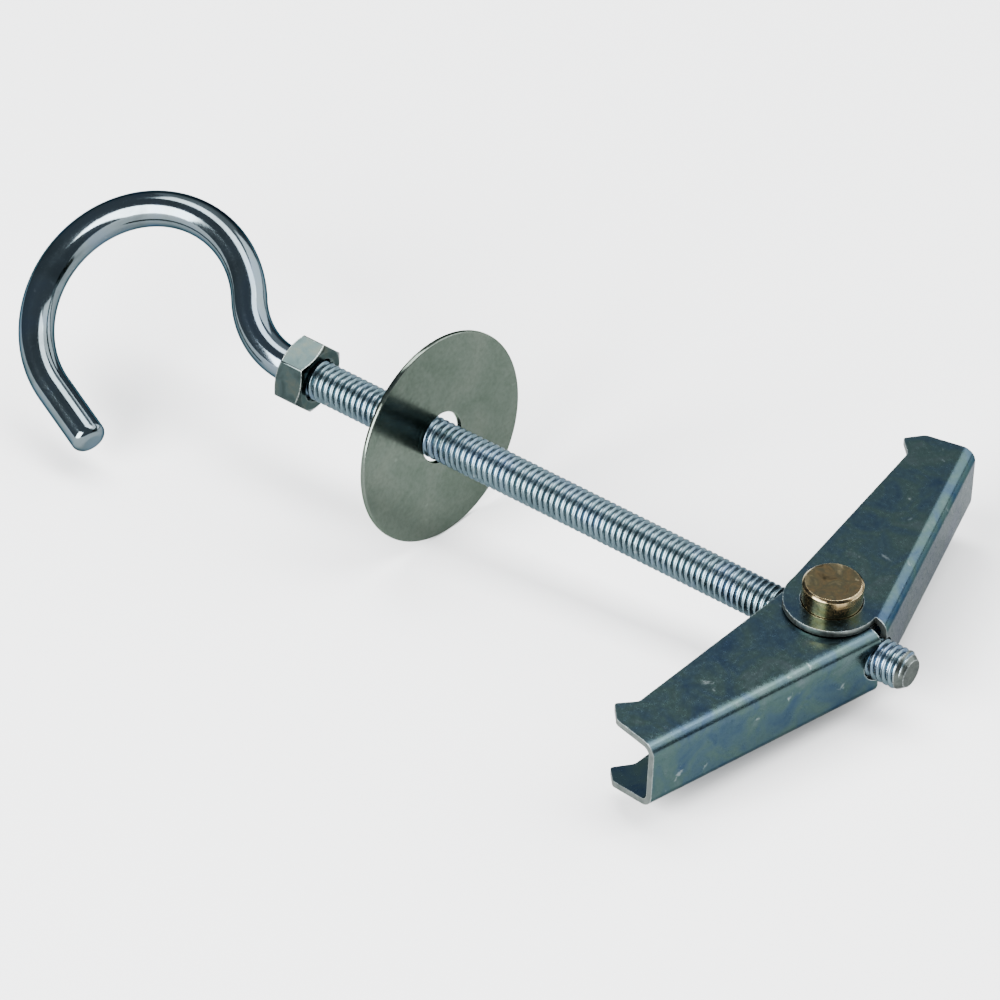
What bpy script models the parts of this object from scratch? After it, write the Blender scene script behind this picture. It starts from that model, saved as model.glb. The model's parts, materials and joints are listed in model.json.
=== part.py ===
"""Spring toggle hook: a bent hook bolt with its lock nut, a ceiling washer and a two-winged toggle.

The assembly is built around the toggle's pivot: +X runs along the rod towards its free end, +Y along
the first wing and +Z along the barrel that both wings turn on. At the end the whole assembly is laid
down as it comes to rest, on the rim of its washer and the edge of its barrel.
"""
import math

import bmesh
import bpy
import numpy as np
from mathutils import Matrix, Vector

MM = 0.001

# Rod and hook, bent from one wire whose straight end is rolled to an M5 thread
THREAD_DIAMETER = 4.9 * MM
WIRE_DIAMETER = 4.4 * MM
THREAD_LENGTH = 88.0 * MM
THREAD_RUNOUT = 0.6 * MM
ROD_PAST_PIVOT = 11.3 * MM
ROD_END_CHAMFER = 1.1 * MM
ROD_END_DIAMETER = 3.4 * MM
NECK_BEND_RADIUS = 10.85 * MM
NECK_BEND = math.radians(56.5)
LOOP_RADIUS = 13.7 * MM
LOOP_SWEEP = math.radians(212.0)
TIP_STRAIGHT = 9.0 * MM
TIP_ROUNDING = 0.9 * MM
HOOK_PLANE_TURN = math.radians(52.0)

# Lock nut, run up against the end of the thread
NUT_ACROSS_FLATS = 7.9 * MM
NUT_THICKNESS = 3.9 * MM
NUT_CHAMFER = math.radians(30.0)
NUT_FACE_SHARE = 0.95
NUT_TURN = math.radians(45.0)

# Ceiling washer, loose on the rod and leaning on it
WASHER_DIAMETER = 26.4 * MM
WASHER_HOLE = 6.3 * MM
WASHER_THICKNESS = 0.6 * MM
WASHER_EDGE = 0.1 * MM
WASHER_FROM_NUT = 17.6 * MM
WASHER_LEAN = math.radians(7.8)
WASHER_SWING = math.radians(-7.0)

# Barrel nut, the pivot of both wings and the thread's mate
BARREL_DIAMETER = 7.1 * MM
BARREL_PROUD = 2.6 * MM
BARREL_CHAMFER = 0.3 * MM

# Wings, two equal channels folded from sheet
SHEET = 0.8 * MM
BEND_OUTSIDE = 1.7 * MM
EAR_RADIUS = 5.65 * MM
WEB_FROM_PIVOT = 7.2 * MM
WEB_TAPER = math.radians(15.8)
WEB_INNER_END = 0.5 * MM
BEARING_RISE = math.radians(4.3)
WING_REACH = 32.6 * MM
CLAW_START = 27.1 * MM
CLAW_RUN = 2.0 * MM
CLAW_HEIGHT = 2.0 * MM
CLAW_TOP_RUN = 2.1 * MM
CLAW_TOP_DROP = 1.8 * MM
OUTER_FLANGE_SPLAY = math.radians(10.0)

# Torsion spring, one turn of thin wire round the barrel with a leg in each wing
SPRING_WIRE = 0.6 * MM
SPRING_LEG = 14.0 * MM

# Clearances between pieces
THREAD_CLEARANCE = 0.1 * MM
PIVOT_CLEARANCE = 0.1 * MM
FLANGE_GAP = 0.15 * MM
SPRING_CLEARANCE = 0.15 * MM
WASHER_CLEARANCE = 0.08 * MM
SEAT_GAP = 0.25 * MM

# Facets round each kind of round piece
ROD_SIDES = 28
TURNED_SIDES = 64
SPRING_SIDES = 8
ARC_STEP = math.radians(6.0)

# Places and sizes that follow from the ones above
ROD_RADIUS = THREAD_DIAMETER / 2
BARREL_RADIUS = BARREL_DIAMETER / 2
THREAD_END_X = ROD_PAST_PIVOT - THREAD_LENGTH
NUT_FRONT_X = THREAD_END_X + NUT_THICKNESS
WASHER_X = NUT_FRONT_X + WASHER_FROM_NUT
INNER_HALF_HEIGHT = ROD_RADIUS + SPRING_WIRE + 2 * SPRING_CLEARANCE
WING_STAGGER = SHEET + FLANGE_GAP
CHANNEL_HEIGHT = 2 * (INNER_HALF_HEIGHT + SHEET) + WING_STAGGER
FLANGE_TOP_Z = CHANNEL_HEIGHT / 2 + WING_STAGGER / 2
BARREL_LENGTH = 2 * (FLANGE_TOP_Z + BARREL_PROUD)
COIL_RADIUS = BARREL_RADIUS + SPRING_CLEARANCE + SPRING_WIRE / 2
COIL_Z = ROD_RADIUS + SPRING_CLEARANCE + SPRING_WIRE / 2


def clear_scene():
    for item in list(bpy.data.objects):
        bpy.data.objects.remove(item, do_unlink=True)


def metal(name, colour, roughness, metallic=1.0):
    """A plain Principled metal."""
    finish = bpy.data.materials.new(name)
    finish.use_nodes = True
    shader = finish.node_tree.nodes["Principled BSDF"]
    shader.inputs["Base Color"].default_value = (*colour, 1.0)
    shader.inputs["Roughness"].default_value = roughness
    shader.inputs["Metallic"].default_value = metallic
    return finish


def add_object(name, bm, finish=None, parent=None, sharp_from=30.0):
    """Make an object from a bmesh, shaded smooth apart from its real edges."""
    bmesh.ops.recalc_face_normals(bm, faces=bm.faces[:])
    mesh = bpy.data.meshes.new(name)
    bm.to_mesh(mesh)
    bm.free()
    mesh.shade_smooth()
    mesh.set_sharp_from_angle(angle=math.radians(sharp_from))
    if finish:
        mesh.materials.append(finish)
    item = bpy.data.objects.new(name, mesh)
    bpy.context.collection.objects.link(item)
    item.parent = parent
    return item


def add_empty(name, parent=None, place=(0.0, 0.0, 0.0)):
    empty = bpy.data.objects.new(name, None)
    empty.empty_display_size = 5 * MM
    bpy.context.collection.objects.link(empty)
    empty.parent = parent
    empty.location = place
    return empty


def add_cutter(name, bm, parent):
    """A shape that only cuts or trims another one."""
    cutter = add_object(name, bm, parent=parent)
    cutter.hide_render = True
    cutter.display_type = "WIRE"
    return cutter


def boolean(item, cutter, operation):
    step = item.modifiers.new(operation.title(), "BOOLEAN")
    step.operation = operation
    step.object = cutter


def arc(centre, radius, start, end):
    """Points on a circle from one angle to another, both ends included."""
    count = max(2, math.ceil(abs(end - start) / ARC_STEP))
    angles = [start + (end - start) * i / count for i in range(count + 1)]
    return [(centre[0] + radius * math.cos(a), centre[1] + radius * math.sin(a)) for a in angles]


def prism(outline, low, high):
    """An outline in X and Y, extruded along Z from low to high."""
    bm = bmesh.new()
    floor = bm.faces.new([bm.verts.new((x, y, low)) for x, y in outline])
    lifted = bmesh.ops.extrude_face_region(bm, geom=[floor])["geom"]
    top = [v for v in lifted if isinstance(v, bmesh.types.BMVert)]
    bmesh.ops.translate(bm, verts=top, vec=(0.0, 0.0, high - low))
    return bm


def turned(profile, sides=TURNED_SIDES):
    """Turn a closed profile of (along X, radius) points round the X axis, leaving its hole open."""
    bm = bmesh.new()
    corners = [bm.verts.new((x, radius, 0.0)) for x, radius in profile]
    edges = [bm.edges.new((a, b)) for a, b in zip(corners, corners[1:] + corners[:1])]
    bmesh.ops.spin(
        bm, geom=edges, cent=(0, 0, 0), axis=(1, 0, 0), dvec=(0, 0, 0),
        angle=2 * math.pi, steps=sides, use_merge=True,
    )
    bmesh.ops.remove_doubles(bm, verts=bm.verts[:], dist=0.001 * MM)
    return bm


def cylinder(radius, low, high, sides=TURNED_SIDES):
    """A round bar along Z."""
    return prism([(radius * math.cos(a), radius * math.sin(a)) for a in full_turn(sides)], low, high)


def full_turn(sides):
    return [2 * math.pi * i / sides for i in range(sides)]


def sweep(stations, sides):
    """A closed round bar through stations, each a centre, a heading, a side direction and a radius."""
    bm = bmesh.new()
    rings = []
    for centre, heading, side, radius in stations:
        other = heading.cross(side)
        ring = [centre + radius * (math.cos(a) * side + math.sin(a) * other) for a in full_turn(sides)]
        rings.append([bm.verts.new(point) for point in ring])
    for near, far in zip(rings, rings[1:]):
        for i in range(sides):
            j = (i + 1) % sides
            bm.faces.new((near[i], near[j], far[j], far[i]))
    bm.faces.new(rings[0][::-1])
    bm.faces.new(rings[-1])
    return bm


def bent_wire_path():
    """The hook's centre line from the thread's end to the tip, as (along, up, heading) in its own plane.

    Along runs away from the toggle and up lies across the rod. The wire leaves the nut straight,
    swings aside in the neck and comes back over the top of the loop to its straight tip.
    """
    along = -THREAD_END_X
    up = 0.0
    heading = 0.0
    path = [(along, up, heading)]
    bends = [(NECK_BEND_RADIUS, NECK_BEND), (LOOP_RADIUS, -LOOP_SWEEP)]
    along += THREAD_RUNOUT
    path.append((along, up, heading))
    for radius, sweep_angle in bends:
        turn = math.copysign(1.0, sweep_angle)
        centre = (along - turn * radius * math.sin(heading), up + turn * radius * math.cos(heading))
        count = math.ceil(abs(sweep_angle) / ARC_STEP)
        start = heading
        for i in range(1, count + 1):
            heading = start + sweep_angle * i / count
            along = centre[0] + turn * radius * math.sin(heading)
            up = centre[1] - turn * radius * math.cos(heading)
            path.append((along, up, heading))
    return path


def make_hook_bolt(finish, parent):
    across = Vector((0.0, math.sin(HOOK_PLANE_TURN), math.cos(HOOK_PLANE_TURN)))
    away = Vector((-1.0, 0.0, 0.0))
    wire_radius = WIRE_DIAMETER / 2

    def station(along, up, heading, radius):
        """A ring of the wire, with its side direction square to the heading in the hook's plane."""
        ahead = math.cos(heading) * away + math.sin(heading) * across
        side = math.cos(heading) * across - math.sin(heading) * away
        return along * away + up * across, ahead, side, radius

    stations = [
        station(-ROD_PAST_PIVOT, 0.0, 0.0, ROD_END_DIAMETER / 2),
        station(-ROD_PAST_PIVOT + ROD_END_CHAMFER, 0.0, 0.0, ROD_RADIUS),
        station(-THREAD_END_X, 0.0, 0.0, ROD_RADIUS),
    ]
    path = bent_wire_path()
    stations += [station(along, up, heading, wire_radius) for along, up, heading in path[1:]]
    along, up, heading = path[-1]
    for i in range(5):
        angle = math.pi / 2 * i / 4
        reach = TIP_STRAIGHT - TIP_ROUNDING + TIP_ROUNDING * math.sin(angle)
        radius = wire_radius - TIP_ROUNDING + TIP_ROUNDING * math.cos(angle)
        tip = (along + reach * math.cos(heading), up + reach * math.sin(heading))
        stations.append(station(*tip, heading, radius))
    return add_object("hook_bolt", sweep(stations, ROD_SIDES), finish, parent)


def make_hex_nut(finish, parent):
    """A hexagon bar, trimmed by a turned blank that gives it its bore and its chamfered corners."""
    corner = NUT_ACROSS_FLATS / math.sqrt(3)
    face = NUT_FACE_SHARE * NUT_ACROSS_FLATS / 2
    outside = corner + SEAT_GAP
    drop = (outside - face) * math.tan(NUT_CHAMFER)
    bore = ROD_RADIUS + THREAD_CLEARANCE
    half = NUT_THICKNESS / 2
    blank = turned([
        (-half, bore), (-half, face), (-half + drop, outside),
        (half - drop, outside), (half, face), (half, bore),
    ])
    nut = add_object("hex_nut", blank, finish, parent)
    nut.location = (NUT_FRONT_X - half, 0.0, 0.0)
    hexagon = [(corner * math.cos(a), corner * math.sin(a)) for a in full_turn(6)]
    bar = add_cutter("nut_hexagon", prism(hexagon, -NUT_THICKNESS, NUT_THICKNESS), nut)
    bar.matrix_local = Matrix.Rotation(NUT_TURN, 4, "X") @ Matrix.Rotation(math.pi / 2, 4, "Y")
    boolean(nut, bar, "INTERSECT")
    return nut


def make_washer(finish, parent):
    """A flat disc that hangs with the rod on the lower edge of its hole."""
    half = WASHER_THICKNESS / 2
    rim = WASHER_DIAMETER / 2
    hole = WASHER_HOLE / 2
    edge = WASHER_EDGE
    disc = turned([
        (-half + edge, hole), (-half, hole + edge), (-half, rim - edge), (-half + edge, rim),
        (half - edge, rim), (half, rim - edge), (half, hole + edge), (half - edge, hole),
    ])
    washer = add_object("ceiling_washer", disc, finish, parent)
    lean = math.hypot(WASHER_LEAN, WASHER_SWING)
    free_height = hole * math.cos(lean) - half * math.sin(lean) - ROD_RADIUS
    turn = Matrix.Rotation(WASHER_SWING, 4, "Z") @ Matrix.Rotation(-WASHER_LEAN, 4, "Y")
    washer.matrix_local = Matrix.Translation((WASHER_X, 0.0, free_height - WASHER_CLEARANCE)) @ turn
    return washer


def make_barrel_nut(finish, parent):
    """A short bar across the rod, with the hole that the rod's thread runs in."""
    half = BARREL_LENGTH / 2
    ends = half - BARREL_CHAMFER
    small = BARREL_RADIUS - BARREL_CHAMFER
    up = Vector((0.0, 0.0, 1.0))
    side = Vector((1.0, 0.0, 0.0))
    levels = [(-half, small), (-ends, BARREL_RADIUS), (ends, BARREL_RADIUS), (half, small)]
    bar = sweep([(Vector((0, 0, z)), up, side, radius) for z, radius in levels], TURNED_SIDES)
    barrel = add_object("barrel_nut", bar, finish, parent)
    drill = add_cutter("barrel_drill", cylinder(ROD_RADIUS + THREAD_CLEARANCE, -BARREL_DIAMETER,
                                                BARREL_DIAMETER, ROD_SIDES), barrel)
    drill.rotation_euler = (0.0, math.pi / 2, 0.0)
    boolean(barrel, drill, "DIFFERENCE")
    return barrel


def web_x(y):
    """Where the web's outer face is, y out from the pivot."""
    return WEB_FROM_PIVOT / math.cos(WEB_TAPER) - y * math.tan(WEB_TAPER)


def bearing_x(y):
    """Where the edge that bears on the ceiling is, y out from the pivot."""
    return -EAR_RADIUS / math.cos(BEARING_RISE) - y * math.tan(BEARING_RISE)


def wing_outline():
    """A flange seen along the barrel: its ear round the pivot, bearing edge, claw, end and web."""
    knee = (bearing_x(CLAW_START), CLAW_START)
    point = (knee[0] - CLAW_HEIGHT, knee[1] + CLAW_RUN)
    crest = (point[0] + CLAW_TOP_DROP, point[1] + CLAW_TOP_RUN)
    web_tip = (web_x(WING_REACH), WING_REACH)
    web_end = (web_x(WEB_INNER_END), WEB_INNER_END)
    ear_end = math.asin(WEB_INNER_END / EAR_RADIUS)
    ear = arc((0.0, 0.0), EAR_RADIUS, math.pi - BEARING_RISE, 2 * math.pi + ear_end)
    return ear + [web_end, web_tip, crest, point, knee]


def flange_section(splay):
    """A bend and its flange as (from the web's outer face, height), leaned out from square by the splay."""
    centre = (BEND_OUTSIDE, CHANNEL_HEIGHT / 2 - BEND_OUTSIDE)
    square = math.pi / 2 + splay
    outer = arc(centre, BEND_OUTSIDE, math.pi, square)
    inner = arc(centre, BEND_OUTSIDE - SHEET, square, math.pi)
    reach = WEB_FROM_PIVOT + EAR_RADIUS + WING_REACH * math.sin(WEB_TAPER)
    edge = [(x + reach * math.cos(splay), z + reach * math.sin(splay)) for x, z in (outer[-1], inner[0])]
    return outer + edge + inner


def make_wing(name, finish, parent, half_turn, splay):
    """A channel folded along its tapered web, trimmed to the flange's outline and cut for barrel and rod."""
    upper = flange_section(splay)
    lower = [(depth, -height) for depth, height in reversed(flange_section(0.0))]
    bm = prism(upper + lower, -2 * EAR_RADIUS, WING_REACH + 2 * EAR_RADIUS)
    # The section's own axes are depth, height and run: depth leaves the web towards the bearing edge.
    depth = Vector((-math.cos(WEB_TAPER), -math.sin(WEB_TAPER), 0.0))
    height = Vector((0.0, 0.0, 1.0))
    run = Vector((-math.sin(WEB_TAPER), math.cos(WEB_TAPER), 0.0))
    axes = Matrix((depth, height, run)).transposed().to_4x4()
    web_face = Matrix.Translation(-WEB_FROM_PIVOT * depth)
    bmesh.ops.transform(bm, matrix=web_face @ axes, verts=bm.verts[:])
    wing = add_object(name, bm, finish, parent)
    if half_turn:
        wing.rotation_euler = (math.pi, 0.0, 0.0)
    wing.location = (0.0, 0.0, -WING_STAGGER / 2 if half_turn else WING_STAGGER / 2)
    trim = add_cutter(name + "_outline", prism(wing_outline(), -CHANNEL_HEIGHT, CHANNEL_HEIGHT), wing)
    hole = cylinder(BARREL_RADIUS + PIVOT_CLEARANCE, -CHANNEL_HEIGHT, CHANNEL_HEIGHT)
    pierce = add_cutter(name + "_pivot_hole", hole, wing)
    groove = cylinder(ROD_RADIUS + SEAT_GAP, 0.0, 2 * WEB_FROM_PIVOT, ROD_SIDES)
    notch = add_cutter(name + "_rod_notch", groove, wing)
    notch.rotation_euler = (0.0, math.pi / 2, 0.0)
    notch.location = (0.0, 0.0, -WING_STAGGER / 2)
    boolean(wing, trim, "INTERSECT")
    boolean(wing, pierce, "DIFFERENCE")
    boolean(wing, notch, "DIFFERENCE")
    return wing


def spring_path():
    """The spring's centre line: a leg, one turn that passes over and under the rod, the other leg."""
    web_inside = WEB_FROM_PIVOT - SHEET - SPRING_CLEARANCE - SPRING_WIRE / 2
    splay = math.asin(web_inside / math.hypot(COIL_RADIUS, SPRING_LEG)) - math.atan(COIL_RADIUS / SPRING_LEG)
    leave = WEB_TAPER - splay

    def leg_point(distance, side):
        """A point on a leg, distance out from where it leaves the coil."""
        x = COIL_RADIUS * math.cos(leave) - distance * math.sin(leave)
        y = COIL_RADIUS * math.sin(leave) + distance * math.cos(leave)
        return Vector((x, side * y, side * COIL_Z))

    leg_steps = 6
    first = [leg_point(SPRING_LEG * (1 - i / leg_steps), 1) for i in range(leg_steps)]
    last = [leg_point(SPRING_LEG * (i + 1) / leg_steps, -1) for i in range(leg_steps)]
    # The wire changes level beside the barrel, between the angles where it has passed the rod.
    past_rod = math.asin(min(1.0, (ROD_RADIUS + SPRING_CLEARANCE + SPRING_WIRE / 2) / COIL_RADIUS))
    start = leave
    end = -2 * math.pi - leave
    count = math.ceil((start - end) / (2 * ARC_STEP)) * 2
    coil = []
    for i in range(count + 1):
        angle = start + (end - start) * i / count
        share = (-angle - past_rod) / (math.pi - 2 * past_rod)
        share = min(1.0, max(0.0, share))
        level = COIL_Z * math.cos(math.pi * share)
        coil.append(Vector((COIL_RADIUS * math.cos(angle), COIL_RADIUS * math.sin(angle), level)))
    return first + coil + last


def make_torsion_spring(finish, parent):
    points = spring_path()
    stations = []
    for i, point in enumerate(points):
        before = points[max(0, i - 1)]
        after = points[min(len(points) - 1, i + 1)]
        heading = (after - before).normalized()
        side = heading.cross(Vector((0.0, 0.0, 1.0))).normalized()
        stations.append((point, heading, side, SPRING_WIRE / 2))
    return add_object("torsion_spring", sweep(stations, SPRING_SIDES), finish, parent, 60.0)


def solid_points(items, graph):
    """All the corners of the finished pieces in the world, and their centre of mass in one metal."""
    corners = []
    volume = 0.0
    moment = np.zeros(3)
    for item in items:
        shape = item.evaluated_get(graph)
        mesh = shape.to_mesh()
        mesh.calc_loop_triangles()
        points = np.array([shape.matrix_world @ v.co for v in mesh.vertices])
        faces = np.array([t.vertices[:] for t in mesh.loop_triangles])
        shape.to_mesh_clear()
        a, b, c = points[faces[:, 0]], points[faces[:, 1]], points[faces[:, 2]]
        wedges = np.einsum("ij,ij->i", a, np.cross(b, c)) / 6
        volume += wedges.sum()
        moment += (wedges[:, None] * (a + b + c) / 4).sum(axis=0)
        corners.append(points)
    return np.vstack(corners), moment / volume


def resting_face(corners, balance):
    """The outward direction of the hull face that the assembly settles on, nearest to straight down."""
    bm = bmesh.new()
    for corner in corners:
        bm.verts.new(corner)
    hull = bmesh.ops.convex_hull(bm, input=bm.verts[:], use_existing_faces=False)
    faces = [f for f in hull["geom"] if isinstance(f, bmesh.types.BMFace)]
    down = Vector((0.0, 0.0, -1.0))
    centre = Vector(balance)
    best = None
    for face in faces:
        normal = face.normal.copy()
        if (face.verts[0].co - centre).dot(normal) < 0:
            normal.negate()
        foot = centre + (face.verts[0].co - centre).dot(normal) * normal
        edges = [(loop.vert.co, loop.link_loop_next.vert.co) for loop in face.loops]
        turns = [(b - a).cross(foot - a).dot(normal) for a, b in edges]
        inside = all(t >= 0 for t in turns) or all(t <= 0 for t in turns)
        if inside and (best is None or normal.dot(down) > best.dot(down)):
            best = normal
    bm.free()
    return best


def lay_down(assembly, items):
    """Turn the assembly onto its resting face, rod along X, with its origin under its middle."""
    bpy.context.view_layer.update()
    graph = bpy.context.evaluated_depsgraph_get()
    corners, balance = solid_points(items, graph)
    floor = resting_face(corners, balance)
    settle = floor.rotation_difference(Vector((0.0, 0.0, -1.0))).to_matrix()
    rod = settle @ Vector((1.0, 0.0, 0.0))
    yaw = Matrix.Rotation(-math.atan2(rod.y, rod.x), 3, "Z")
    turn = yaw @ settle
    laid = corners @ np.array(turn).T
    low = laid.min(axis=0)
    high = laid.max(axis=0)
    middle = Vector(((low[0] + high[0]) / 2, (low[1] + high[1]) / 2, low[2]))
    assembly.matrix_world = Matrix.Translation(-middle) @ turn.to_4x4()
    bpy.context.view_layer.update()


def main():
    clear_scene()
    zinc = metal("blue_zinc_plate", (0.46, 0.52, 0.55), 0.22)
    dull_zinc = metal("satin_zinc_plate", (0.50, 0.55, 0.53), 0.35)
    wing_zinc = metal("wing_zinc_plate", (0.30, 0.38, 0.41), 0.30)
    yellow_zinc = metal("yellow_zinc_plate", (0.50, 0.38, 0.18), 0.30)
    spring_steel = metal("spring_steel", (0.42, 0.42, 0.42), 0.35)

    assembly = add_empty("toggle_hook_assembly")
    pivot = add_empty("toggle_pivot", assembly)
    pieces = [
        make_hook_bolt(zinc, assembly),
        make_hex_nut(zinc, assembly),
        make_washer(dull_zinc, assembly),
        make_barrel_nut(yellow_zinc, pivot),
        make_wing("wing_a", wing_zinc, pivot, half_turn=False, splay=0.0),
        make_wing("wing_b", wing_zinc, pivot, half_turn=True, splay=OUTER_FLANGE_SPLAY),
        make_torsion_spring(spring_steel, pivot),
    ]
    lay_down(assembly, pieces)


main()
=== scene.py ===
# %% [markdown]
# # Spring toggle hook
# This lesson dresses a toggle hook for hollow ceilings: a bent hook bolt with its lock nut, a
# loose ceiling washer, and a toggle whose two spring-loaded wings turn on a barrel nut.

# %% Load the measured model
import json
import math

import bpy
from mathutils import Matrix, Vector


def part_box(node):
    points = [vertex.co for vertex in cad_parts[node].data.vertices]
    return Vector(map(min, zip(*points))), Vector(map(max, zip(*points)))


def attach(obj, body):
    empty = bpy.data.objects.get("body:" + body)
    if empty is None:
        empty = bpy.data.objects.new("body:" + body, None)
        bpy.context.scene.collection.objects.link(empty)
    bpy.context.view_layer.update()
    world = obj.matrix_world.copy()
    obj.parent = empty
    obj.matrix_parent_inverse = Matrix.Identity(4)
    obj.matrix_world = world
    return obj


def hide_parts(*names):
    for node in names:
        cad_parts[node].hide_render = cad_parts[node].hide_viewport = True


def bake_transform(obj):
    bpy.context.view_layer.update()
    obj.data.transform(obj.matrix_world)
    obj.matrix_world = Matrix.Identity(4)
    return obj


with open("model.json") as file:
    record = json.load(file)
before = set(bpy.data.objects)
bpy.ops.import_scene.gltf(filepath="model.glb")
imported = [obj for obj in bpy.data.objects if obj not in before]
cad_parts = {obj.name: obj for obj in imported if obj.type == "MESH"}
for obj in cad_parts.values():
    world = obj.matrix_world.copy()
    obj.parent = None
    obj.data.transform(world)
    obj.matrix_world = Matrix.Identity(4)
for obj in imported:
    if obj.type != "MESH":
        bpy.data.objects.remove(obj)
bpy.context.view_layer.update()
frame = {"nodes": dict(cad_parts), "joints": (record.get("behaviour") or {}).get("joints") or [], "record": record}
MM = 0.001
print("nodes:", sorted(frame["nodes"]))

# %% [markdown]
# The hook lies tilted on the floor, which makes awkward numbers. So every piece is drawn in
# millimetres on the toggle's own axes, X along the rod to its free end, Y along the first wing and
# Z along the barrel, and is then set down in one move. The joints of the measured model say where
# those axes lie.

# %% The toggle's own axes
joints = {joint["name"]: joint for joint in frame["joints"]}
rod_out = -Vector(joints["toggle_travel"]["axis"])
wing_out = Vector(joints["wing_b_fold"]["axis"]).cross(rod_out).normalized()
rod_out.normalize()
pivot = Vector(joints["wing_b_fold"]["pos_m"])
toggle_turn = Matrix((rod_out, wing_out, rod_out.cross(wing_out))).transposed()
SET_DOWN = Matrix.Translation(pivot) @ toggle_turn.to_4x4() @ Matrix.Scale(MM, 4)
print("pivot of the wings in mm:", [round(v / MM, 2) for v in pivot])

# %% [markdown]
# The photograph looks down on the hook from the front right. A long lens keeps the far wing almost
# as large as the near one, so the camera stands nearly a metre away and is aimed at a point on the
# rod.

# %% Camera
CAMERA_PLACE = Vector((447.137, -577.957, 563.707)) * MM
CAMERA_RIGHT = Vector((0.808354, 0.587798, -0.032533))
CAMERA_UP = Vector((-0.336387, 0.506546, 0.793886))
LENS_MM, SENSOR_MM = 281.58, 36.0

lens = bpy.data.cameras.new("photo_camera")
lens.lens = LENS_MM
lens.sensor_width = SENSOR_MM
camera = bpy.data.objects.new("photo_camera", lens)
bpy.context.collection.objects.link(camera)
camera_turn = Matrix((CAMERA_RIGHT, CAMERA_UP, CAMERA_RIGHT.cross(CAMERA_UP))).transposed()
camera.matrix_world = Matrix.Translation(CAMERA_PLACE) @ camera_turn.to_4x4()
bpy.context.scene.camera = camera
print("camera stands at", [round(v, 3) for v in camera.location])

# %% [markdown]
# A few moves come back for every piece. Picking clears the old selection first, because an
# operator acts on all that is selected. Turning a bar, cutting with a second solid and softening
# an edge are the moves of the real workshop, so the helpers are named after them.

# %% Workshop moves
def pick(*pieces):
    bpy.ops.object.select_all(action="DESELECT")
    for piece in pieces:
        piece.select_set(True)
    bpy.context.view_layer.objects.active = pieces[0]


def apply_step(piece, kind, **settings):
    """Add a modifier with its settings and apply it at once."""
    step = piece.modifiers.new(kind.title(), kind)
    for key, value in settings.items():
        setattr(step, key, value)
    pick(piece)
    bpy.ops.object.modifier_apply(modifier=step.name)


def tidy_mesh(piece, distance=0.002):
    """Merge vertices that lie on one another, and turn all faces outwards."""
    pick(piece)
    bpy.ops.object.mode_set(mode="EDIT")
    bpy.ops.mesh.select_all(action="SELECT")
    bpy.ops.mesh.remove_doubles(threshold=distance)
    bpy.ops.mesh.normals_make_consistent(inside=False)
    bpy.ops.object.mode_set(mode="OBJECT")


def combine(piece, tool, operation):
    """Cut, trim or join a piece with a second solid, which is used up."""
    apply_step(
        piece, "BOOLEAN", operation=operation, object=tool, solver="EXACT",
        material_mode="TRANSFER",
    )
    bpy.data.objects.remove(tool, do_unlink=True)


def soften(piece, width, rings=2, from_angle=30.0):
    """Round every edge that turns more sharply than an angle."""
    apply_step(
        piece, "BEVEL", width=width, segments=rings, limit_method="ANGLE",
        angle_limit=math.radians(from_angle), miter_outer="MITER_ARC",
    )


def set_down(piece, place=Matrix(), shade_angle=32.0):
    """Bring a piece from its drawing to its place in the lying hook, with smooth shading."""
    tidy_mesh(piece)
    piece.matrix_world = SET_DOWN @ place @ piece.matrix_world
    pick(piece)
    bpy.ops.object.transform_apply(location=True, rotation=True, scale=True)
    bpy.ops.object.shade_smooth_by_angle(angle=math.radians(shade_angle))
    apply_step(piece, "WEIGHTED_NORMAL", keep_sharp=True, weight=100)
    faces = len(piece.data.polygons)
    print(piece.name, "has", faces, "faces and measures",
          [round(v / MM, 1) for v in piece.dimensions], "mm")


# %% Turning on a lathe
def push_on(step):
    """Extrude what is selected by one step."""
    bpy.ops.mesh.extrude_region_move(TRANSFORM_OT_translate={"value": step})


def turn_bar(name, steps, sides=96):
    """A solid bar about the X axis through (x, radius) steps: a disc, extruded step by step."""
    x, radius = steps[0]
    bpy.ops.object.select_all(action="DESELECT")
    bpy.ops.mesh.primitive_circle_add(
        vertices=sides, radius=radius, fill_type="NGON", location=(x, 0.0, 0.0),
        rotation=(0.0, math.pi / 2, 0.0),
    )
    bar = bpy.context.object
    bar.name = name
    bpy.ops.object.transform_apply(location=True, rotation=True, scale=True)
    bpy.ops.object.mode_set(mode="EDIT")
    bpy.ops.mesh.select_all(action="SELECT")
    for next_x, next_radius in steps[1:]:
        push_on((next_x - x, 0.0, 0.0))
        grow = next_radius / radius
        bpy.ops.transform.resize(value=(1.0, grow, grow), center_override=(next_x, 0.0, 0.0))
        x, radius = next_x, next_radius
    bpy.ops.mesh.select_all(action="SELECT")
    bpy.ops.mesh.normals_make_consistent(inside=False)
    bpy.ops.object.mode_set(mode="OBJECT")
    return bar


# %% Tracing an outline
def trace(name, points):
    """An open line of edges: one vertex, extruded again and again."""
    bpy.ops.object.select_all(action="DESELECT")
    bpy.ops.mesh.primitive_plane_add(size=1.0, location=points[0])
    line = bpy.context.object
    line.name = name
    bpy.ops.object.transform_apply(location=True, rotation=True, scale=True)
    bpy.ops.object.mode_set(mode="EDIT")
    bpy.ops.mesh.select_mode(type="VERT")
    bpy.ops.mesh.select_all(action="SELECT")
    bpy.ops.mesh.merge(type="CENTER")
    for here, there in zip(points, points[1:]):
        push_on(Vector(there) - Vector(here))
    bpy.ops.object.mode_set(mode="OBJECT")
    return line


# %% [markdown]
# ## Plated finishes
# Zinc plate on steel is never one even grey. Its clear passivation film is thinner here and
# thicker there, which gives blue, green and yellow casts, and handling rubs the edges bright. Each
# finish mixes soft patches of colour, a fine grain in gloss and relief, and a lighter line along
# the worn edges.

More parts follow.
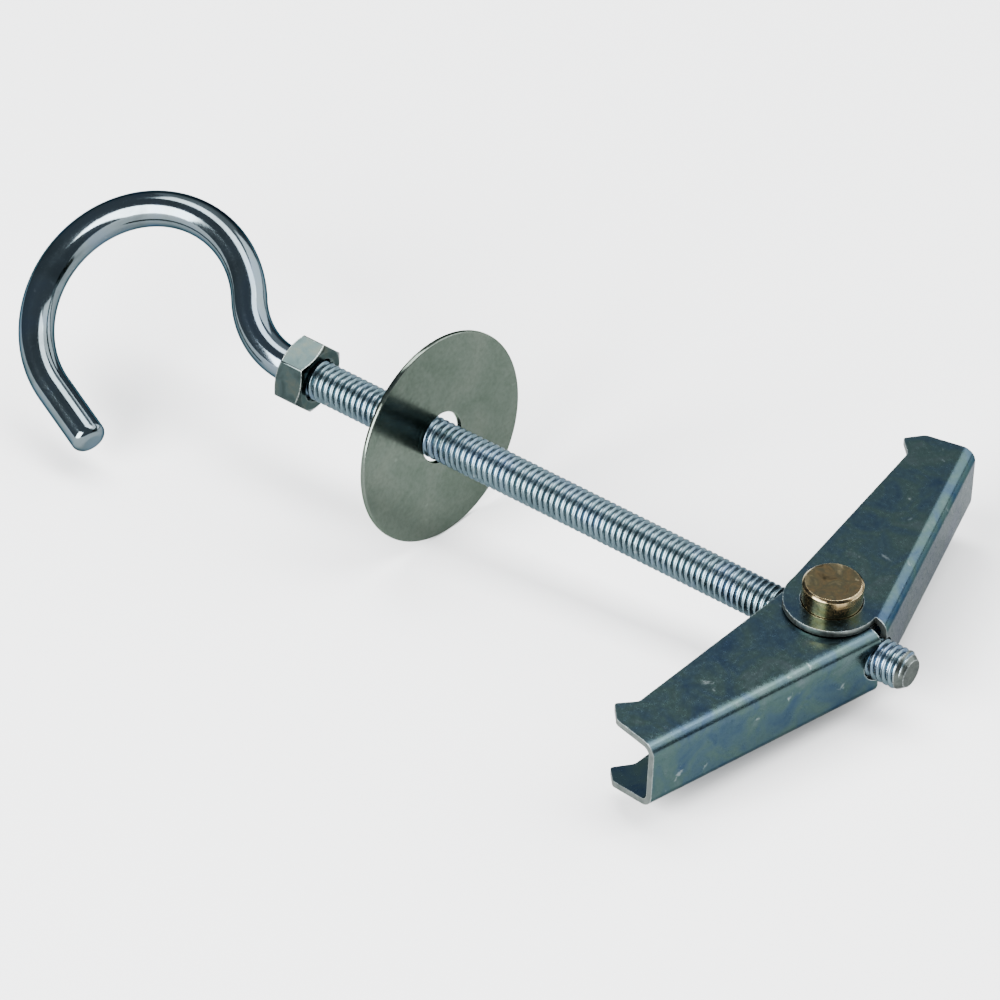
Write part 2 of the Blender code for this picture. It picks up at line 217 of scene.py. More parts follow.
# %% Small helpers for shader nodes
def add_node(tree, kind, settings=None, **inputs):
    """One shader node; a value is set on its socket, and another node's output is linked to it."""
    made = tree.nodes.new("ShaderNode" + kind)
    for key, value in (settings or {}).items():
        setattr(made, key, value)
    for key, value in inputs.items():
        socket = made.inputs[key.replace("_", " ")]
        if isinstance(value, bpy.types.NodeSocket):
            tree.links.new(value, socket)
        else:
            socket.default_value = value
    return made


def colour_ramp(tree, share, stops):
    made = tree.nodes.new("ShaderNodeValToRGB")
    points = made.color_ramp.elements
    while len(points) < len(stops):
        points.new(0.5)
    for point, (place, colour) in zip(points, stops):
        point.position = place
        point.color = (*colour, 1.0)
    tree.links.new(share, made.inputs["Fac"])
    return made.outputs["Color"]


MIX_SHARE, MIX_FIRST, MIX_SECOND, MIX_RESULT = 0, 6, 7, 2   # the Mix node's sockets for colours


def mix_colours(tree, share, first, second, blend="MIX"):
    made = tree.nodes.new("ShaderNodeMix")
    made.data_type = "RGBA"
    made.blend_type = blend
    tree.links.new(share, made.inputs[MIX_SHARE])
    tree.links.new(first, made.inputs[MIX_FIRST])
    made.inputs[MIX_SECOND].default_value = (*second, 1.0)
    return made.outputs[MIX_RESULT]


def rescale(tree, value, low, high, to_low, to_high):
    made = add_node(
        tree, "MapRange", Value=value, From_Min=low, From_Max=high, To_Min=to_low, To_Max=to_high,
    )
    return made.outputs["Result"]


# %% The toggle's axes and the worn edges in a material
def toggle_coordinates(tree, stretch=(1.0, 1.0, 1.0)):
    """The toggle's own axes in millimetres, found from the place in the mesh."""
    place = add_node(tree, "TexCoord").outputs["Object"]
    turned = add_node(
        tree, "Mapping", {"vector_type": "TEXTURE"}, Vector=place, Location=pivot,
        Rotation=toggle_turn.to_euler(), Scale=(MM, MM, MM),
    ).outputs["Vector"]
    return add_node(tree, "Mapping", Vector=turned, Scale=stretch).outputs["Vector"]


FLAT_LIKENESS, EDGE_LIKENESS = 0.995, 0.86


def worn_edges(tree, width):
    """How far the surface turns away within a small width: 0 on a flat, up to 1 on a sharp edge."""
    rounded = add_node(tree, "Bevel", {"samples": 4}, Radius=width * MM).outputs["Normal"]
    plain = add_node(tree, "NewGeometry").outputs["Normal"]
    likeness = add_node(tree, "VectorMath", {"operation": "DOT_PRODUCT"})
    tree.links.new(rounded, likeness.inputs[0])
    tree.links.new(plain, likeness.inputs[1])
    return rescale(tree, likeness.outputs["Value"], FLAT_LIKENESS, EDGE_LIKENESS, 0.0, 1.0)


# %% [markdown]
# The finish is built up as the plate is. A slow noise lays the coloured patches, a fine one grains
# them, a patchy one marks the scuffs, and last the edges are rubbed bright, less so where the
# grain is low. All noise is read on the toggle's own axes, so a grain can be stretched along the
# piece.

# %% The plated finish
PATCH_NOISE = {"Detail": 4.0, "Roughness": 0.55, "Distortion": 0.7}
GRAIN_NOISE = {"Scale": 1.0, "Detail": 2.0, "Roughness": 0.5}
SCUFF_NOISE = {"Scale": 0.42, "Detail": 3.0, "Roughness": 0.7, "Distortion": 0.4}


def plated(
    name, patches, patch_size, grain_stretch, gloss, edge_colour, edge_tint,
    relief=0.006, scuffs=0.4, edge_width=0.22,
):
    """A plated metal. Patches are colour stops, sizes millimetres, and gloss a roughness range."""
    finish = bpy.data.materials.new(name)
    finish.use_nodes = True
    tree = finish.node_tree
    shader = tree.nodes["Principled BSDF"]
    shader.inputs["Metallic"].default_value = 1.0
    shader.inputs["Specular Tint"].default_value = (*edge_tint, 1.0)
    place = toggle_coordinates(tree)
    grain_place = toggle_coordinates(tree, grain_stretch)

    cloud = add_node(tree, "TexNoise", Vector=place, Scale=1.0 / patch_size, **PATCH_NOISE)
    colour = colour_ramp(tree, cloud.outputs["Fac"], patches)
    grain = add_node(tree, "TexNoise", Vector=grain_place, **GRAIN_NOISE).outputs["Fac"]
    grain_share = rescale(tree, grain, 0.35, 0.75, 0.0, 0.35)
    colour = mix_colours(tree, grain_share, colour, edge_colour, "SOFT_LIGHT")

    rub = add_node(tree, "TexNoise", Vector=place, **SCUFF_NOISE).outputs["Fac"]
    colour = mix_colours(tree, rescale(tree, rub, 0.66, 0.76, 0.0, scuffs), colour, edge_colour)
    rubbed = add_node(tree, "Math", {"operation": "MULTIPLY"})
    tree.links.new(worn_edges(tree, edge_width), rubbed.inputs[0])
    tree.links.new(rescale(tree, grain, 0.35, 0.6, 0.2, 0.9), rubbed.inputs[1])
    colour = mix_colours(tree, rubbed.outputs["Value"], colour, edge_colour)

    tree.links.new(colour, shader.inputs["Base Color"])
    tree.links.new(rescale(tree, grain, 0.3, 0.7, *gloss), shader.inputs["Roughness"])
    bump = add_node(tree, "Bump", Height=grain, Strength=0.5, Distance=relief * MM)
    tree.links.new(bump.outputs["Normal"], shader.inputs["Normal"])
    print("finish", name, "with patches of about", patch_size, "mm")
    return finish


def dress(piece, finish):
    piece.data.materials.clear()
    piece.data.materials.append(finish)


# %% [markdown]
# Drawn wire is the smoothest steel of the hook, so it mirrors almost sharply. Rolling roughens the
# thread, and the nut, washer and cut rod end are each dull in their own way. A metal's colour says
# how much it mirrors, and these are dark because the panels that light them are strong.

# %% The finishes of the wire, thread, nut and washer
wire_zinc = plated(
    "blue_zinc_wire",
    [(0.3, (0.055, 0.068, 0.072)), (0.5, (0.078, 0.098, 0.106)), (0.7, (0.072, 0.094, 0.120))],
    patch_size=7.0, grain_stretch=(6.0, 6.0, 6.0), gloss=(0.07, 0.15),
    edge_colour=(0.45, 0.50, 0.52), edge_tint=(0.26, 0.27, 0.28), relief=0.003, scuffs=0.15,
)
thread_zinc = plated(
    "rolled_zinc_thread",
    [(0.3, (0.048, 0.072, 0.082)), (0.5, (0.068, 0.100, 0.114)), (0.7, (0.062, 0.090, 0.126))],
    patch_size=5.0, grain_stretch=(5.0, 5.0, 5.0), gloss=(0.24, 0.36),
    edge_colour=(0.45, 0.50, 0.52), edge_tint=(0.5, 0.52, 0.54), relief=0.003, scuffs=0.2,
    edge_width=0.08,
)
nut_zinc = plated(
    "blue_zinc_nut",
    [(0.3, (0.012, 0.018, 0.018)), (0.5, (0.019, 0.028, 0.028)), (0.7, (0.028, 0.033, 0.028))],
    patch_size=2.0, grain_stretch=(5.0, 5.0, 5.0), gloss=(0.10, 0.20),
    edge_colour=(0.40, 0.44, 0.42), edge_tint=(0.5, 0.52, 0.52), relief=0.003,
)
washer_zinc = plated(
    "satin_zinc_sheet",
    [(0.3, (0.045, 0.058, 0.048)), (0.5, (0.054, 0.067, 0.057)), (0.7, (0.062, 0.074, 0.063))],
    patch_size=6.0, grain_stretch=(2.0, 2.0, 2.0), gloss=(0.12, 0.20),
    edge_colour=(0.22, 0.25, 0.22), edge_tint=(0.45, 0.5, 0.45), relief=0.003, scuffs=0.12,
)
cut_wire_end = plated(
    "cut_wire_end",
    [(0.3, (0.032, 0.038, 0.036)), (0.7, (0.056, 0.063, 0.058))],
    patch_size=1.0, grain_stretch=(6.0, 6.0, 6.0), gloss=(0.25, 0.40),
    edge_colour=(0.40, 0.44, 0.44), edge_tint=(0.5, 0.5, 0.5), relief=0.01, edge_width=0.15,
)

# %% The finishes of the wings, barrel and spring
wing_zinc = plated(
    "dark_blue_zinc_sheet",
    [(0.32, (0.020, 0.034, 0.053)), (0.46, (0.028, 0.046, 0.056)),
     (0.58, (0.032, 0.052, 0.050)), (0.74, (0.046, 0.063, 0.066))],
    patch_size=4.5, grain_stretch=(2.0, 2.0, 2.0), gloss=(0.18, 0.28),
    edge_colour=(0.32, 0.37, 0.37), edge_tint=(0.42, 0.43, 0.44), relief=0.0008, scuffs=0.35,
)
barrel_end_zinc = plated(
    "yellow_zinc_parted_end",
    [(0.3, (0.028, 0.023, 0.013)), (0.43, (0.098, 0.074, 0.041)),
     (0.56, (0.066, 0.061, 0.038)), (0.72, (0.165, 0.135, 0.078))],
    patch_size=2.0, grain_stretch=(2.0, 2.0, 1.0), gloss=(0.10, 0.22),
    edge_colour=(0.72, 0.60, 0.36), edge_tint=(0.80, 0.75, 0.65), relief=0.003,
)
# The side's yellow is brighter than the ends' as a painted highlight: it stands in for the gold gleam the side
# mirrors from the wing below.
barrel_side_painted_highlight = plated(
    "yellow_zinc_side_painted_highlight",
    [(0.3, (0.13, 0.092, 0.045)), (0.5, (0.27, 0.205, 0.110)), (0.7, (0.21, 0.175, 0.100))],
    patch_size=2.4, grain_stretch=(1.0, 1.0, 4.0), gloss=(0.14, 0.24),
    edge_colour=(0.80, 0.66, 0.40), edge_tint=(0.80, 0.75, 0.65), relief=0.003,
)
spring_wire_finish = plated(
    "drawn_spring_wire",
    [(0.3, (0.20, 0.20, 0.20)), (0.7, (0.34, 0.34, 0.33))],
    patch_size=3.0, grain_stretch=(5.0, 5.0, 5.0), gloss=(0.25, 0.4),
    edge_colour=(0.5, 0.5, 0.5), edge_tint=(0.6, 0.6, 0.6), edge_width=0.1,
)
sheared_zinc = plated(
    "sheared_zinc_edge",
    [(0.3, (0.055, 0.065, 0.063)), (0.7, (0.105, 0.118, 0.112))],
    patch_size=1.5, grain_stretch=(8.0, 8.0, 1.0), gloss=(0.28, 0.45),
    edge_colour=(0.30, 0.34, 0.32), edge_tint=(0.5, 0.5, 0.5), relief=0.01, edge_width=0.1,
)

# %% [markdown]
# ## Hook bolt
# The real bolt is one steel wire. Its straight end is rolled to an M5 thread, which swells it a
# little, and its plain end is bent twice. Spinning the end face about a bending centre does what
# the bending machine does, so the wire is one disc that is pushed on, spun aside, spun back and
# pushed on again.

# %% Bending the hook
WIRE_DIAMETER, THREAD_DIAMETER = 4.4, 4.9
ROD_END_X, THREAD_LENGTH = 11.3, 88.0
THREAD_END_X = ROD_END_X - THREAD_LENGTH
RUNOUT, WIRE_IN_THREAD = 0.6, 0.3
NECK_RADIUS, NECK_BEND = 10.85, math.radians(56.5)
LOOP_RADIUS, LOOP_SWEEP = 13.7, math.radians(212.0)
TIP_STRAIGHT, TIP_ROUNDING = 9.0, 1.1
NECK_STEPS, LOOP_STEPS = 24, 80
HOOK_PLANE_TURN = math.radians(52.0)

away = Vector((-1.0, 0.0, 0.0))
across = Vector((0.0, math.sin(HOOK_PLANE_TURN), math.cos(HOOK_PLANE_TURN)))
bend_axis = away.cross(across)


def headed(angle):
    """The wire's own direction, and the direction square to it in the hook's plane."""
    ahead = math.cos(angle) * away + math.sin(angle) * across
    return ahead, math.cos(angle) * across - math.sin(angle) * away


def spin_about(centre, angle, steps):
    bpy.ops.mesh.spin(steps=steps, angle=-angle, center=centre, axis=bend_axis)


hook_bolt = turn_bar(
    "hook_bolt_wire", [(THREAD_END_X - WIRE_IN_THREAD, WIRE_DIAMETER / 2)], sides=64,
)
pick(hook_bolt)
bpy.ops.object.mode_set(mode="EDIT")
bpy.ops.mesh.select_all(action="SELECT")
push_on((WIRE_IN_THREAD - RUNOUT, 0.0, 0.0))
neck_start = Vector((THREAD_END_X - RUNOUT, 0.0, 0.0))
neck_centre = neck_start + NECK_RADIUS * across
spin_about(neck_centre, NECK_BEND, NECK_STEPS)
ahead, side = headed(NECK_BEND)
loop_centre = neck_centre - (NECK_RADIUS + LOOP_RADIUS) * side
spin_about(loop_centre, -LOOP_SWEEP, LOOP_STEPS)
ahead, side = headed(NECK_BEND - LOOP_SWEEP)
push_on(TIP_STRAIGHT * ahead)
bpy.ops.mesh.bevel(offset=TIP_ROUNDING, segments=8, affect="EDGES")
bpy.ops.object.mode_set(mode="OBJECT")
tidy_mesh(hook_bolt)
tip = loop_centre + LOOP_RADIUS * side + TIP_STRAIGHT * ahead
nearest = min((v.co - tip).length for v in hook_bolt.data.vertices)
print("the bent wire's tip is", round(nearest, 2), "mm from the drawing's")

# %% [markdown]
# A thread could be faked with a bump, but its saw-toothed edge shows against the floor. One pitch
# of its profile is traced and the Screw modifier winds it round the rod, so crests and roots are
# real. A turned blank then trims the winding to the rod's length and gives its free end a chamfer.

# %% Rolling the thread
PITCH = 0.8
CREST = THREAD_DIAMETER / 2
THREAD_DEPTH, CREST_ROUNDING = 0.40, 0.03
ROOT, SHOULDER = CREST - THREAD_DEPTH, CREST - CREST_ROUNDING
SPARE_START, SPARE_END = 2.4, 2.0
WIND_FROM = THREAD_END_X - SPARE_START
turns = math.ceil((ROD_END_X + SPARE_END - WIND_FROM) / PITCH)

tooth = [
    (0.0, ROOT), (0.06, ROOT), (0.28, SHOULDER), (0.33, CREST),
    (0.47, CREST), (0.52, SHOULDER), (0.74, ROOT), (PITCH, ROOT),
]
thread = trace("thread", [(WIND_FROM + x, radius, 0.0) for x, radius in tooth])
apply_step(
    thread, "SCREW", axis="X", angle=2 * math.pi, screw_offset=PITCH, iterations=turns,
    steps=32, render_steps=32, use_merge_vertices=True, merge_threshold=0.001,
)
pick(thread)
bpy.ops.object.mode_set(mode="EDIT")
bpy.ops.mesh.select_all(action="SELECT")
bpy.ops.mesh.remove_doubles(threshold=0.001)
bpy.ops.mesh.fill_holes(sides=0)
bpy.ops.mesh.select_all(action="SELECT")
bpy.ops.mesh.normals_make_consistent(inside=False)
bpy.ops.object.mode_set(mode="OBJECT")
print("thread of", turns, "turns,", len(thread.data.polygons), "faces")

# %% [markdown]
# Where the thread meets the wire, the join leaves vertices in the middle of straight edges. They
# would make needle-thin triangles, so each vertex where only two edges meet is dissolved.

# %% Clearing what a join leaves
def clear_selection(mesh):
    for part in (mesh.vertices, mesh.edges, mesh.polygons):
        for element in part:
            element.select = False


def straighten_edges(piece):
    """Dissolve the vertices in the middle of straight edges, where only two edges meet."""
    mesh = piece.data
    edge_ends = [0] * len(mesh.vertices)
    for edge in mesh.edges:
        for i in edge.vertices:
            edge_ends[i] += 1
    clear_selection(mesh)
    for vertex in mesh.vertices:
        vertex.select = edge_ends[vertex.index] == 2
    pick(piece)
    bpy.ops.object.mode_set(mode="EDIT")
    bpy.ops.mesh.select_mode(type="VERT")
    bpy.ops.mesh.dissolve_verts()
    bpy.ops.object.mode_set(mode="OBJECT")
    print(piece.name, "lost", edge_ends.count(2), "needless vertices")


# %% Trimming the thread and joining it to the wire
ROD_CHAMFER, CHAMFERED_RADIUS = 1.1, 1.7
BLANK_IN_WIRE, BLANK_IN_WIRE_RADIUS = 1.2, 2.0
over_crest = CREST + 0.02
blank = turn_bar("rod_blank", [
    (THREAD_END_X - BLANK_IN_WIRE, BLANK_IN_WIRE_RADIUS),
    (THREAD_END_X - RUNOUT, WIRE_DIAMETER / 2),
    (THREAD_END_X, over_crest),
    (ROD_END_X - ROD_CHAMFER, over_crest),
    (ROD_END_X, CHAMFERED_RADIUS),
])
for part, part_finish in ((hook_bolt, wire_zinc), (thread, thread_zinc), (blank, cut_wire_end)):
    part.data.materials.append(part_finish)
combine(thread, blank, "INTERSECT")
combine(hook_bolt, thread, "UNION")
tidy_mesh(hook_bolt)
straighten_edges(hook_bolt)
hook_bolt.name = "hook_bolt_threaded"
set_down(hook_bolt, shade_angle=38.0)

# %% [markdown]
# ## Lock nut
# A hexagon nut starts as hexagon bar. Its corners are cut back by a cone on both faces, which
# leaves the curved chamfer lines on the flats. So a six-sided bar is trimmed by a turned blank
# with coned ends, and the bore with its countersinks is drilled last.

# %% Cutting the nut
NUT_ACROSS_FLATS, NUT_THICKNESS = 7.9, 3.9
NUT_CENTRE_X = THREAD_END_X + NUT_THICKNESS / 2
NUT_TURN = math.radians(-45.0)
NUT_CONE = math.radians(30.0)
FACE_SHARE = 0.95
BORE_RADIUS, COUNTERSINK_RADIUS, COUNTERSINK_DEPTH = 2.5, 3.0, 0.35
PAST_CORNER, DRILL_OVERRUN = 0.25, 0.2
half = NUT_THICKNESS / 2
corner = NUT_ACROSS_FLATS / math.sqrt(3)
face = FACE_SHARE * NUT_ACROSS_FLATS / 2
outside = corner + PAST_CORNER
drop = (outside - face) * math.tan(NUT_CONE)

bpy.ops.object.select_all(action="DESELECT")
bpy.ops.mesh.primitive_cylinder_add(vertices=6, radius=corner, depth=2 * NUT_THICKNESS)
hex_nut = bpy.context.object
hex_nut.name = "hex_nut_threaded"
hex_nut.matrix_world = Matrix.Rotation(NUT_TURN, 4, "X") @ Matrix.Rotation(math.pi / 2, 4, "Y")
bpy.ops.object.transform_apply(location=True, rotation=True, scale=True)
soften(hex_nut, width=0.14, rings=3)
coned = turn_bar("nut_blank", [
    (-half, face), (-half + drop, outside), (half - drop, outside), (half, face),
])
combine(hex_nut, coned, "INTERSECT")
drill = turn_bar("nut_drill", [
    (-half - DRILL_OVERRUN, COUNTERSINK_RADIUS), (-half + COUNTERSINK_DEPTH, BORE_RADIUS),
    (half - COUNTERSINK_DEPTH, BORE_RADIUS), (half + DRILL_OVERRUN, COUNTERSINK_RADIUS),
])
combine(hex_nut, drill, "DIFFERENCE")
soften(hex_nut, width=0.05, from_angle=25.0)
set_down(hex_nut, Matrix.Translation((NUT_CENTRE_X, 0.0, 0.0)), shade_angle=22.0)
dress(hex_nut, nut_zinc)

# %% [markdown]
# ## Ceiling washer
# The washer is stamped from sheet. The punch drags the upper rim round and leaves the lower one
# sharp, so the disc is turned with one large and one small rim radius, and so is the hole. It
# leans on the rod, so its centre comes from the measured solid and its slope from the face that
# meets the ceiling.

# %% Stamping the washer
WASHER_DIAMETER, WASHER_HOLE, WASHER_THICKNESS = 26.4, 6.3, 0.6
SHARP, DRAGGED, PUNCH_OVERRUN = 0.05, 0.2, 0.1
half = WASHER_THICKNESS / 2
rim = WASHER_DIAMETER / 2
hole = WASHER_HOLE / 2
ceiling_washer = turn_bar("ceiling_washer_disc", [
    (-half, rim - SHARP), (-half + SHARP, rim), (half - DRAGGED, rim),
    (half - 0.07, rim - SHARP), (half, rim - DRAGGED),
], sides=160)
punch = turn_bar("washer_punch", [
    (-half - PUNCH_OVERRUN, hole + 0.15), (-half + SHARP, hole), (half - 0.18, hole),
    (half - SHARP, hole + 0.06), (half + PUNCH_OVERRUN, hole + 0.3),
], sides=96)
combine(ceiling_washer, punch, "DIFFERENCE")
soften(ceiling_washer, width=0.04, from_angle=35.0)

low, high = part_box("ceiling_washer")
mount = frame["record"]["mounts"][0]
lean = Vector(mount["axis"]).to_track_quat("X", "Z").to_matrix().to_4x4()
washer_place = Matrix.Translation((low + high) / 2) @ lean @ Matrix.Scale(MM, 4)
set_down(ceiling_washer, SET_DOWN.inverted() @ washer_place)
dress(ceiling_washer, washer_zinc)

# %% [markdown]
# ## Barrel nut
# The barrel is parted off from round bar, with a small chamfer at each end and a threaded cross
# hole for the rod. It is turned about X like every other bar, drilled, and stood up along the
# wings' pivot. Its side has a finish of its own, a brighter yellow than the ends: a painted
# highlight for the gold gleam that the side mirrors from the wing below.

# %% Turning the barrel
BARREL_DIAMETER, BARREL_LENGTH, BARREL_CHAMFER = 7.1, 15.4, 0.3
CROSS_COUNTERSINK = 0.5
half = BARREL_LENGTH / 2
radius = BARREL_DIAMETER / 2
barrel_nut = turn_bar("barrel_nut_bar", [
    (-half, radius - BARREL_CHAMFER), (-half + BARREL_CHAMFER, radius),
    (half - BARREL_CHAMFER, radius), (half, radius - BARREL_CHAMFER),
])
cross_drill = turn_bar("cross_drill", [
    (-radius - CROSS_COUNTERSINK, COUNTERSINK_RADIUS), (-radius + CROSS_COUNTERSINK, BORE_RADIUS),
    (radius - CROSS_COUNTERSINK, BORE_RADIUS), (radius + CROSS_COUNTERSINK, COUNTERSINK_RADIUS),
], sides=64)
cross_drill.matrix_world = Matrix.Rotation(math.pi / 2, 4, "Y")
combine(barrel_nut, cross_drill, "DIFFERENCE")
soften(barrel_nut, width=0.08, rings=3, from_angle=28.0)
set_down(barrel_nut, Matrix.Rotation(-math.pi / 2, 4, "Y"))
dress(barrel_nut, barrel_end_zinc)
barrel_nut.data.materials.append(barrel_side_painted_highlight)

barrel_axis = Vector(joints["wing_b_fold"]["axis"]).normalized()
SIDE_LEAN = 0.3
# The side faces take the brighter yellow of the painted highlight; the ends keep the plain yellow zinc.
for polygon in barrel_nut.data.polygons:
    polygon.material_index = 1 if abs(polygon.normal.dot(barrel_axis)) < SIDE_LEAN else 0
side_faces = sum(polygon.material_index for polygon in barrel_nut.data.polygons)
print("the barrel's side takes", side_faces, "faces")

# %% [markdown]
# ## Wings
# Each wing is a channel folded from one piece of sheet. It is made the way the press makes it: a
# flat plate, its two sides folded up, the folds rounded, and then the wall thickness. The press
# trims the outline before folding; here it is simpler to trim the folded channel, seen along the
# barrel.

# %% The wing's outline
SHEET, BEND_OUTSIDE, CHANNEL_HEIGHT = 0.8, 1.7, 9.25
EAR_RADIUS, WEB_FROM_PIVOT = 5.65, 7.2
WEB_TAPER, BEARING_RISE = math.radians(15.8), math.radians(4.3)
WING_REACH, WEB_INNER_END = 32.6, 0.5
WING_STAGGER = 0.95
LOWER_SPLAY = math.radians(10.0)


def web_x(y):
    """Where the web's outer face is, y out from the pivot."""
    return WEB_FROM_PIVOT / math.cos(WEB_TAPER) - y * math.tan(WEB_TAPER)


def bearing_x(y):
    """Where the edge that bears on the ceiling is, y out from the pivot."""
    return -EAR_RADIUS / math.cos(BEARING_RISE) - y * math.tan(BEARING_RISE)


CLAW_FOOT_Y = 27.1
CLAW_FOOT = (bearing_x(CLAW_FOOT_Y), CLAW_FOOT_Y)
CLAW_POINT = (CLAW_FOOT[0] - 2.0, CLAW_FOOT[1] + 2.0)
CLAW_CREST = (CLAW_POINT[0] + 1.8, CLAW_POINT[1] + 2.1)
EAR_STEPS, WEB_MARGIN = 40, 1.0
ear_from = math.pi - BEARING_RISE
ear_to = 2 * math.pi + math.asin(WEB_INNER_END / EAR_RADIUS)
outline = []
for i in range(EAR_STEPS + 1):
    angle = ear_from + (ear_to - ear_from) * i / EAR_STEPS
    outline.append((EAR_RADIUS * math.cos(angle), EAR_RADIUS * math.sin(angle)))
end_slope = (WING_REACH - CLAW_CREST[1]) / (web_x(WING_REACH) - CLAW_CREST[0])
end_x = web_x(WING_REACH) + WEB_MARGIN
outline += [
    (web_x(WEB_INNER_END) + WEB_MARGIN, WEB_INNER_END),
    (end_x, WING_REACH + WEB_MARGIN * end_slope),
    CLAW_CREST, CLAW_POINT, CLAW_FOOT,
]
print("wing outline of", len(outline), "points, reach", WING_REACH, "mm")


# %% Folding a wing
SIDE_DEPTH, BEND_STEPS, NEAR = 22.0, 12, 0.01


def fold_corner(splay):
    """How far from the middle the plate is folded, and how much of each side the fold takes up."""
    take_up = BEND_OUTSIDE * math.tan((math.pi / 2 - splay) / 2)
    return CHANNEL_HEIGHT / 2 - BEND_OUTSIDE + take_up, take_up


def select_edges(mesh, test):
    """Select only the edges whose two ends pass a test together, from object mode."""
    clear_selection(mesh)
    for edge in mesh.edges:
        a, b = (mesh.vertices[i].co for i in edge.vertices)
        if test(a, b):
            edge.select = True
            for i in edge.vertices:
                mesh.vertices[i].select = True


def fold_channel(name, splay):
    """The channel in its own axes: X away from the web, Y along the wing, Z its height."""
    top, top_take_up = fold_corner(splay)
    bottom, bottom_take_up = fold_corner(0.0)
    blank_length = WING_REACH + 4 * EAR_RADIUS
    bpy.ops.object.select_all(action="DESELECT")
    bpy.ops.mesh.primitive_plane_add(size=1.0, rotation=(0.0, math.pi / 2, 0.0))
    channel = bpy.context.object
    channel.name = name
    channel.scale = (top + bottom, blank_length, 1.0)
    channel.location = (0.0, WING_REACH / 2, (top - bottom) / 2)
    bpy.ops.object.transform_apply(location=True, rotation=True, scale=True)
    for side, corner_z, lean_out in ((1, top, splay), (-1, bottom, 0.0)):
        select_edges(
            channel.data, lambda a, b: abs(a.z - side * corner_z) < NEAR and abs(b.z - a.z) < NEAR,
        )
        pick(channel)
        bpy.ops.object.mode_set(mode="EDIT")
        bpy.ops.mesh.select_mode(type="EDGE")
        push_on((SIDE_DEPTH * math.cos(lean_out), 0.0, side * SIDE_DEPTH * math.sin(lean_out)))
        bpy.ops.object.mode_set(mode="OBJECT")
    for fold_z, take_up in ((top, top_take_up), (-bottom, bottom_take_up)):
        select_edges(
            channel.data,
            lambda a, b: max(abs(a.x), abs(b.x), abs(a.z - fold_z), abs(b.z - fold_z)) < NEAR,
        )
        bpy.ops.object.mode_set(mode="EDIT")
        bpy.ops.mesh.bevel(offset=take_up, segments=BEND_STEPS, affect="EDGES")
        bpy.ops.object.mode_set(mode="OBJECT")
    return channel


# %% Trimming a wing
TRIM_HEIGHT = 20.0
ROUNDED_FROM_Y, CORNER_ROUNDING = 20.0, 0.35


def trim_tool(name):
    """A prism of the wing's outline, its claw and its outer corners a little rounded."""
    tool = trace(name, [(x, y, -TRIM_HEIGHT / 2) for x, y in outline + outline[:1]])
    bpy.ops.object.mode_set(mode="EDIT")
    bpy.ops.mesh.select_all(action="SELECT")
    bpy.ops.mesh.remove_doubles(threshold=0.001)
    bpy.ops.mesh.edge_face_add()
    bpy.ops.object.mode_set(mode="OBJECT")
    clear_selection(tool.data)
    for vertex in tool.data.vertices:
        vertex.select = vertex.co.y > ROUNDED_FROM_Y
    bpy.ops.object.mode_set(mode="EDIT")
    bpy.ops.mesh.select_mode(type="VERT")
    bpy.ops.mesh.bevel(offset=CORNER_ROUNDING, segments=4, affect="VERTICES")
    bpy.ops.mesh.select_all(action="SELECT")
    push_on((0.0, 0.0, TRIM_HEIGHT))
    bpy.ops.mesh.select_all(action="SELECT")
    bpy.ops.mesh.normals_make_consistent(inside=False)
    bpy.ops.object.mode_set(mode="OBJECT")
    print(name, len(tool.data.vertices), "corners,", len(tool.data.polygons), "faces")
    return tool


# %% [markdown]
# The folded channel is swung to the slope of its web, then trimmed, pierced for the barrel and
# notched for the rod. The cutting tools carry the finish of a sheared edge, and the cut passes it
# on to the faces that it makes. The second wing is the same channel turned over, one sheet further
# along.

# %% Pressing both wings
PIVOT_HOLE_RADIUS, ROD_NOTCH_RADIUS = 3.65, 2.7


def press_wing(name, splay, half_turn):
    """A finished wing: folded, swung to its slope, cut to its outline and set down."""
    wing = fold_channel(name, splay)
    dress(wing, wing_zinc)
    apply_step(wing, "SOLIDIFY", thickness=SHEET, offset=1.0, use_even_offset=True)
    depth = Vector((-math.cos(WEB_TAPER), -math.sin(WEB_TAPER), 0.0))
    run = Vector((-math.sin(WEB_TAPER), math.cos(WEB_TAPER), 0.0))
    axes = Matrix((depth, run, Vector((0.0, 0.0, 1.0)))).transposed().to_4x4()
    wing.matrix_world = Matrix.Translation(-WEB_FROM_PIVOT * depth) @ axes
    pick(wing)
    bpy.ops.object.transform_apply(location=True, rotation=True, scale=True)
    tidy_mesh(wing)
    pierce = turn_bar("pivot_punch", [
        (-TRIM_HEIGHT / 2, PIVOT_HOLE_RADIUS), (TRIM_HEIGHT / 2, PIVOT_HOLE_RADIUS),
    ])
    pierce.matrix_world = Matrix.Rotation(math.pi / 2, 4, "Y")
    notch = turn_bar("rod_notch", [
        (0.0, ROD_NOTCH_RADIUS), (2 * WEB_FROM_PIVOT, ROD_NOTCH_RADIUS),
    ], sides=64)
    notch.location.z = -WING_STAGGER / 2
    outline_tool = trim_tool(name + "_outline")
    for tool, operation in (
        (outline_tool, "INTERSECT"), (pierce, "DIFFERENCE"), (notch, "DIFFERENCE"),
    ):
        tool.data.materials.append(sheared_zinc)
        combine(wing, tool, operation)
    soften(wing, width=0.09, from_angle=32.0)
    lift = Matrix.Translation((0.0, 0.0, -WING_STAGGER / 2 if half_turn else WING_STAGGER / 2))
    set_down(wing, lift @ Matrix.Rotation(math.pi if half_turn else 0.0, 4, "X"))
    return wing


wing_a = press_wing("wing_a_channel", 0.0, half_turn=False)
wing_b = press_wing("wing_b_channel", LOWER_SPLAY, half_turn=True)
